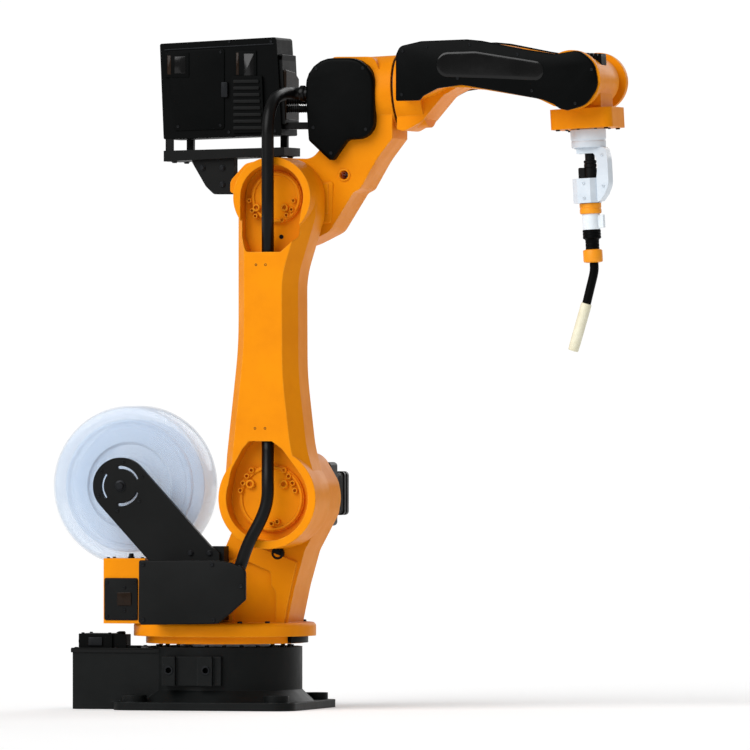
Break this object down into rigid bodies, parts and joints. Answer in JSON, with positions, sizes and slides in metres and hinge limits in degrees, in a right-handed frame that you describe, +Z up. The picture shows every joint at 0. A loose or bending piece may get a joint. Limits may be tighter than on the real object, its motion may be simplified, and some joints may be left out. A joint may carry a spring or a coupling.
{
  "type": "six axis arc welding robot arm",
  "caption": "Jointed arc welding robot arm on a turning base, with a wire feeder on its elbow, a covered wire spool at its rear, a side hose and a gooseneck torch.",
  "frame": {"origin": "on the turntable's axis, at the underside of the base, which is floor level", "axes": "+X to the front where the torch hangs, +Z up, the arm's open side with the hose faces -Y"},
  "size_m": [1.1795, 0.52, 1.3667],
  "materials": {
    "orange_paint": "satin enamel",
    "base_paint": "satin enamel",
    "black_sheet": "satin powder coat",
    "black_plastic": "fine grained",
    "gloss_black": "glossy",
    "feeder_black": "matt powder coat",
    "motor_black": "satin enamel",
    "bare_steel": "machined",
    "clear_plastic": "clear, faintly blue",
    "spool_plastic": "milky, faintly blue",
    "hose_rubber": "satin",
    "pale_metal": "satin",
    "pale_plastic": "satin",
    "orange_plastic": "satin",
    "nozzle_cream": "satin",
    "copper_tip": "machined"
  },
  "bodies": {
    "base": {"base_casting": "base_paint", "base_rear_lid": "black_sheet", "swivel_bearing": "bare_steel", "base_side_pads": "base_paint", "connector_box": "black_plastic", "connector_blocks": "black_plastic"},
    "turntable": {"turntable_casting": "orange_paint", "ring_guard": "black_plastic", "rear_box": "orange_paint", "rear_panel": "black_sheet", "side_cover": "black_sheet", "cover_carrier": "black_sheet", "rear_frame": "black_sheet", "spool_bracket": "black_sheet", "spool_axle": "bare_steel", "spool_cover": "clear_plastic", "shoulder_motor": "motor_black", "shoulder_motor_cap": "motor_black", "lower_conduit": "hose_rubber"},
    "spool": {"wire_spool": "spool_plastic"},
    "lower_arm": {"lower_arm_casting": "orange_paint", "shoulder_gear_disc": "orange_paint", "elbow_gear_disc": "orange_paint", "hose_grommets": "hose_rubber", "arm_conduit_low": "hose_rubber", "arm_conduit_high": "hose_rubber"},
    "elbow": {"elbow_casting": "orange_paint", "elbow_side_cover": "black_plastic", "elbow_far_cover": "black_plastic", "elbow_motor": "motor_black", "feeder_bracket": "black_sheet", "feeder_rail": "black_sheet", "feeder_posts": "black_sheet", "feeder_body": "feeder_black", "feeder_drive": "feeder_black", "feeder_end_plate": "black_sheet", "feeder_conduits": "hose_rubber", "upper_conduit": "hose_rubber"},
    "forearm": {"forearm_casting": "orange_paint", "forearm_cover": "black_plastic", "forearm_far_cover": "black_plastic", "cover_panel": "gloss_black"},
    "wrist": {"wrist_body": "orange_paint", "wrist_cable_cover": "black_plastic"},
    "tool": {"tool_flange": "pale_metal", "torch_bracket": "pale_metal", "torch_cable": "hose_rubber", "torch_clamp": "pale_metal", "torch_ring": "orange_plastic", "torch_grip": "pale_plastic", "torch_collar": "black_plastic", "torch_nut": "orange_plastic", "gooseneck": "black_plastic", "nozzle": "nozzle_cream", "contact_tip": "copper_tip"}
  },
  "joints": [
    {"name": "base_turn", "type": "hinge", "parent": "base", "child": "turntable", "pos_m": [0, 0, 0.134], "axis": [0, 0, 1], "range_deg": [-170, 170]},
    {"name": "shoulder", "type": "hinge", "parent": "turntable", "child": "lower_arm", "pos_m": [0.14, 0, 0.43], "axis": [0, 1, 0], "range_deg": [-60, 85]},
    {"name": "elbow", "type": "hinge", "parent": "lower_arm", "child": "elbow", "pos_m": [0.15, 0, 1.04], "axis": [0, -1, 0], "range_deg": [-50, 70]},
    {"name": "forearm_roll", "type": "hinge", "parent": "elbow", "child": "forearm", "pos_m": [0.758, 0, 1.275], "axis": [0.9986, 0, 0.0523], "range_deg": [-180, 180]},
    {"name": "wrist_bend", "type": "hinge", "parent": "forearm", "child": "wrist", "pos_m": [0.758, 0, 1.275], "axis": [0, -1, 0], "range_deg": [-30, 210]},
    {"name": "tool_turn", "type": "hinge", "parent": "wrist", "child": "tool", "pos_m": [0.758, 0, 1.275], "axis": [0.0523, 0, -0.9986], "range_deg": [-200, 200]},
    {"name": "spool_spin", "type": "hinge", "parent": "turntable", "child": "spool", "pos_m": [-0.189, 0, 0.454], "axis": [0, 1, 0], "continuous": true}
  ]
}
